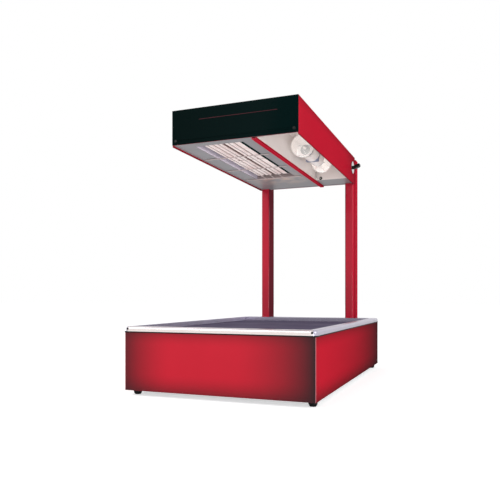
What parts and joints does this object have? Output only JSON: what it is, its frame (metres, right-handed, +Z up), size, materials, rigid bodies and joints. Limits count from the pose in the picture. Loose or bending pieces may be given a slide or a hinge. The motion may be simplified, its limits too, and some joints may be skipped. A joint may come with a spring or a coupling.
{
  "type": "heated holding station",
  "caption": "Countertop chip warmer: heated open base with bright rim, two rear posts and an overhead head with ceramic heaters and lamps; clamps set the head height.",
  "frame": {"origin": "centre of the footprint, on the surface the feet stand on", "axes": "+X to the right seen from the front, +Y from the front to the posts at the rear, +Z up"},
  "size_m": [0.3634, 0.6242, 0.5396],
  "materials": {
    "red_enamel": "gloss enamel with a dark fade towards the edges of each face",
    "red_enamel_head": "gloss enamel",
    "red_post": "gloss enamel on aluminium extrusion",
    "black_enamel": "gloss green-black enamel",
    "zinc_sheet": "galvanised sheet",
    "zinc_screw": "zinc plated",
    "black_screw": "black oxide",
    "rubber_black": "moulded",
    "bright_rim": "bright anodised",
    "hard_coat": "dark hard coat, satin",
    "silicone_orange": "moulded silicone mat",
    "mineral_wool": "compressed wool board",
    "thermostat_steel": "drawn can",
    "bright_steel": "bright zinc",
    "spring_steel": "plain sheet",
    "black_gloss": "moulded",
    "rocker_black": "moulded",
    "black_matte": "moulded",
    "brass_tab": "stamped",
    "phenolic": "moulded phenolic",
    "lead_sleeve": "silicone sleeve",
    "grey_lining": "satin sheet",
    "polished_reflector": "polished",
    "white_ceramic": "fired, satin",
    "black_rail": "black enamel",
    "guard_wire": "plated wire",
    "white_block": "unglazed",
    "white_enamel": "white reflector enamel",
    "socket_porcelain": "glazed",
    "lamp_cap_metal": "nickel plated",
    "bulb_glass": "clear bulb"
  },
  "bodies": {
    "root": {"base_floor": "zinc_sheet", "base_front_panel": "red_enamel", "base_heater_blanket": "silicone_orange", "base_insulation": "mineral_wool", "base_leads": "lead_sleeve", "base_left_panel": "red_enamel", "base_rear_panel": "red_enamel", "base_right_panel": "red_enamel", "base_terminal_block": "phenolic", "base_thermostat": "thermostat_steel", "bumper_feet": "rubber_black", "cord_gland": "black_matte", "corner_angles": "zinc_sheet", "foot_screws": "zinc_screw", "head_arms": "bright_steel", "holding_plate": "hard_coat", "insulation_retainer": "zinc_sheet", "left_post": "red_post", "post_bushing": "black_matte", "post_cable": "lead_sleeve", "post_caps": "black_matte", "post_screws": "zinc_screw", "rear_cross_member": "zinc_sheet", "rear_deck": "bright_rim", "right_post": "red_post", "rim_front_rail": "bright_rim", "rim_left_rail": "bright_rim", "rim_right_rail": "bright_rim", "switch_housings": "black_gloss", "switch_tabs": "brass_tab"},
    "head": {"head_left_panel": "red_enamel_head", "head_right_panel": "red_enamel_head", "head_top_panel": "red_enamel_head", "head_rear_panel": "red_enamel_head", "head_front_panel": "black_enamel", "head_front_frame": "red_enamel_head", "front_panel_screws": "black_screw", "divider_channel": "red_enamel_head", "heat_lining": "grey_lining", "lamp_end_lining": "grey_lining", "element_reflector": "polished_reflector", "ceramic_elements": "white_ceramic", "element_clips": "spring_steel", "element_rail": "black_rail", "wire_guard": "guard_wire", "head_insulation": "mineral_wool", "head_terminal_block": "white_block", "head_leads": "lead_sleeve", "lamp_reflector": "white_enamel", "lamp_sockets": "socket_porcelain", "lamp_caps": "lamp_cap_metal", "lamp_bulbs": "bulb_glass", "lamp_bracket": "spring_steel", "lead_grommet": "black_matte"},
    "left_clamp": {"left_knob": "black_gloss", "left_stud_and_washer": "bright_steel"},
    "right_clamp": {"right_knob": "black_gloss", "right_stud_and_washer": "bright_steel"},
    "heat_switch": {"heat_rocker": "rocker_black"},
    "light_switch": {"light_rocker": "rocker_black"}
  },
  "joints": [
    {"name": "head_height", "type": "slide", "parent": "root", "child": "head", "axis": [0, 0, 1], "range_m": [-0.01, 0.01]},
    {"name": "left_clamp_turn", "type": "hinge", "parent": "root", "child": "left_clamp", "pos_m": [-0.127, 0.2374, 0.5079], "axis": [-1, 0, 0], "range_deg": [0, 360]},
    {"name": "right_clamp_turn", "type": "hinge", "parent": "root", "child": "right_clamp", "pos_m": [0.127, 0.2374, 0.5079], "axis": [1, 0, 0], "range_deg": [0, 360]},
    {"name": "heat_switch_rock", "type": "hinge", "parent": "root", "child": "heat_switch", "pos_m": [-0.038, 0.3011, 0.062], "axis": [1, 0, 0], "range_deg": [-20, 0]},
    {"name": "light_switch_rock", "type": "hinge", "parent": "root", "child": "light_switch", "pos_m": [-0.082, 0.3011, 0.062], "axis": [1, 0, 0], "range_deg": [-20, 0]}
  ]
}
